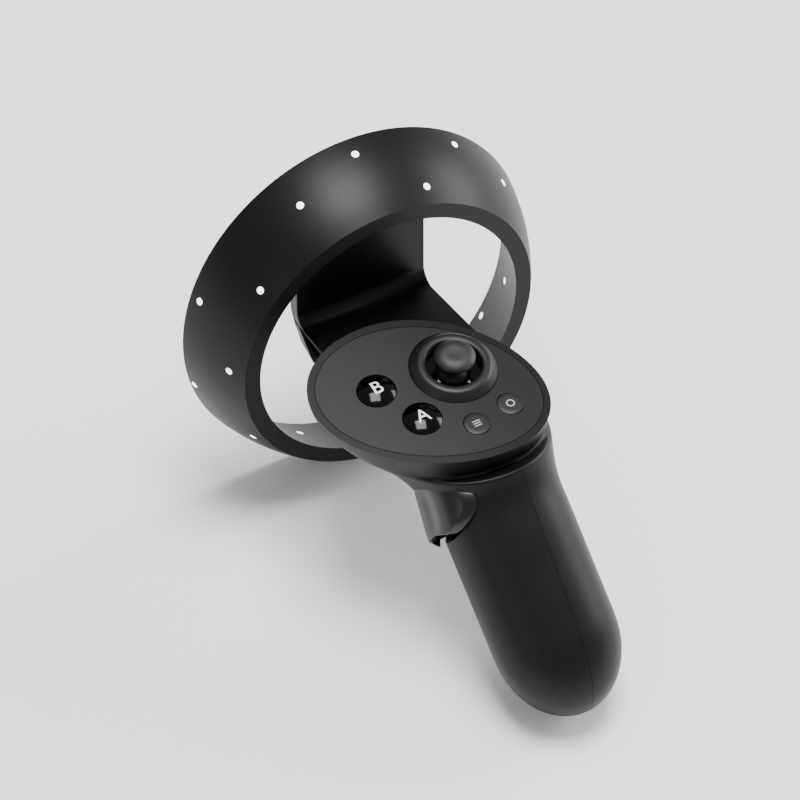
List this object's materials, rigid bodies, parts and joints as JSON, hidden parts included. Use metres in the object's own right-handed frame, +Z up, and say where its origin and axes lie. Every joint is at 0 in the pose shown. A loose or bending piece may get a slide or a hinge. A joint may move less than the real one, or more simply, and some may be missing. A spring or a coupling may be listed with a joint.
{
  "type": "vr motion controller",
  "caption": "Handheld motion controller for virtual reality: tracking ring with light windows, oval thumb face with stick and keys, two finger triggers and a handle that holds two AA cells.",
  "frame": {"origin": "centre of the bounding box's underside, the level on which the ring's lowest point stands", "axes": "+Z up along the thumb face's normal, +Y forward through the ring, +X to the holder's right; the handle runs back and down along -Y and -Z"},
  "size_m": [0.1178, 0.1568, 0.1154],
  "materials": {
    "soft_touch": "soft-touch coated ABS, fine grain",
    "face_satin": "satin moulded ABS",
    "ring_satin": "satin moulded polycarbonate, passes infrared",
    "key_gloss": "polished black ABS",
    "trigger_gloss": "semi-gloss moulded ABS",
    "stick_rubber": "moulded rubber, fine grain",
    "led_window": "frosted clear light window, lit white",
    "acetal": "moulded acetal",
    "nylon": "glass-filled nylon",
    "silicone": "moulded silicone",
    "board": "solder mask over glass-epoxy",
    "flex": "polyimide film",
    "tin_can": "tin-plated pressed sheet",
    "steel": "ground steel",
    "nickel": "nickel plate",
    "cell_wrap": "plain printed sleeve"
  },
  "bodies": {
    "casing": {"main_casing": "soft_touch", "face_plate": "face_satin", "stick_collar": "face_satin", "stick_module": "tin_can", "key_mat": "silicone", "dome_switches": "tin_can", "main_board": "board", "processor_can": "tin_can", "radio_can": "tin_can", "trigger_pin": "steel", "trigger_bracket": "nylon", "trigger_spring": "steel", "grip_pin": "steel", "grip_bracket": "nylon", "grip_spring": "steel", "battery_tray": "nylon", "cell_palm": "cell_wrap", "cell_finger": "cell_wrap", "battery_springs": "nickel", "battery_contacts": "nickel", "rumble_motor": "steel", "ring_outer_shell": "ring_satin", "ring_inner_shell": "ring_satin", "ring_windows_outer": "led_window", "ring_windows_inner": "led_window", "ring_flex": "flex", "ring_leds": "led_window", "neck_front_cover": "ring_satin", "neck_back_cover": "ring_satin", "neck_flex": "flex", "neck_screws": "steel"},
    "key_a": {"key_a": "key_gloss"},
    "key_b": {"key_b": "key_gloss"},
    "key_menu": {"key_menu": "key_gloss"},
    "key_home": {"key_home": "key_gloss"},
    "stick_yoke": {"stick_yoke": "acetal"},
    "stick_shaft": {"stick_shaft": "acetal"},
    "stick_cap": {"stick_cap": "stick_rubber"},
    "trigger": {"trigger": "trigger_gloss", "trigger_magnet": "nickel"},
    "grip_button": {"grip_button": "trigger_gloss", "grip_magnet": "nickel"},
    "battery_cover": {"battery_cover": "soft_touch"},
    "rumble_weight": {"rumble_weight": "steel"}
  },
  "joints": [
    {"name": "key_a_press", "type": "slide", "parent": "casing", "child": "key_a", "axis": [0, 0, -1], "range_m": [0, 0.001], "stiffness_N_per_m": 300, "springref_m": -0.001},
    {"name": "key_b_press", "type": "slide", "parent": "casing", "child": "key_b", "axis": [0, 0, -1], "range_m": [0, 0.001], "stiffness_N_per_m": 300, "springref_m": -0.001},
    {"name": "key_menu_press", "type": "slide", "parent": "casing", "child": "key_menu", "axis": [0, 0, -1], "range_m": [0, 0.0006], "stiffness_N_per_m": 300, "springref_m": -0.001},
    {"name": "key_home_press", "type": "slide", "parent": "casing", "child": "key_home", "axis": [0, 0, -1], "range_m": [0, 0.0006], "stiffness_N_per_m": 300, "springref_m": -0.001},
    {"name": "stick_tilt_y", "type": "hinge", "parent": "casing", "child": "stick_yoke", "pos_m": [0.0059, 0.01503, 0.06658], "axis": [1, 0, 0], "range_deg": [-11, 11], "stiffness_Nm_per_rad": 0.02},
    {"name": "stick_tilt_x", "type": "hinge", "parent": "stick_yoke", "child": "stick_shaft", "pos_m": [0.0059, 0.01503, 0.06658], "axis": [0, 1, 0], "range_deg": [-11, 11], "stiffness_Nm_per_rad": 0.02},
    {"name": "stick_click", "type": "slide", "parent": "stick_shaft", "child": "stick_cap", "axis": [0, 0, -1], "range_m": [0, 0.0004], "stiffness_N_per_m": 1000, "springref_m": -0.001},
    {"name": "trigger_pull", "type": "hinge", "parent": "casing", "child": "trigger", "pos_m": [-0.0015, 0.02213, 0.05526], "axis": [-1, 0, 0], "range_deg": [0, 14], "stiffness_Nm_per_rad": 0.06, "springref_deg": -11.46},
    {"name": "grip_squeeze", "type": "hinge", "parent": "casing", "child": "grip_button", "pos_m": [-0.00876, -0.00913, 0.05183], "axis": [0, -0.5517, 0.834], "range_deg": [0, 7], "stiffness_Nm_per_rad": 0.1, "springref_deg": -5.73},
    {"name": "cover_slide", "type": "slide", "parent": "casing", "child": "battery_cover", "axis": [0.037, -0.8335, -0.5513], "range_m": [0, 0.01]},
    {"name": "rumble_spin", "type": "hinge", "parent": "casing", "child": "rumble_weight", "pos_m": [0.00281, -0.00827, 0.0524], "axis": [0.9993, 0.0309, 0.0204], "continuous": true}
  ]
}
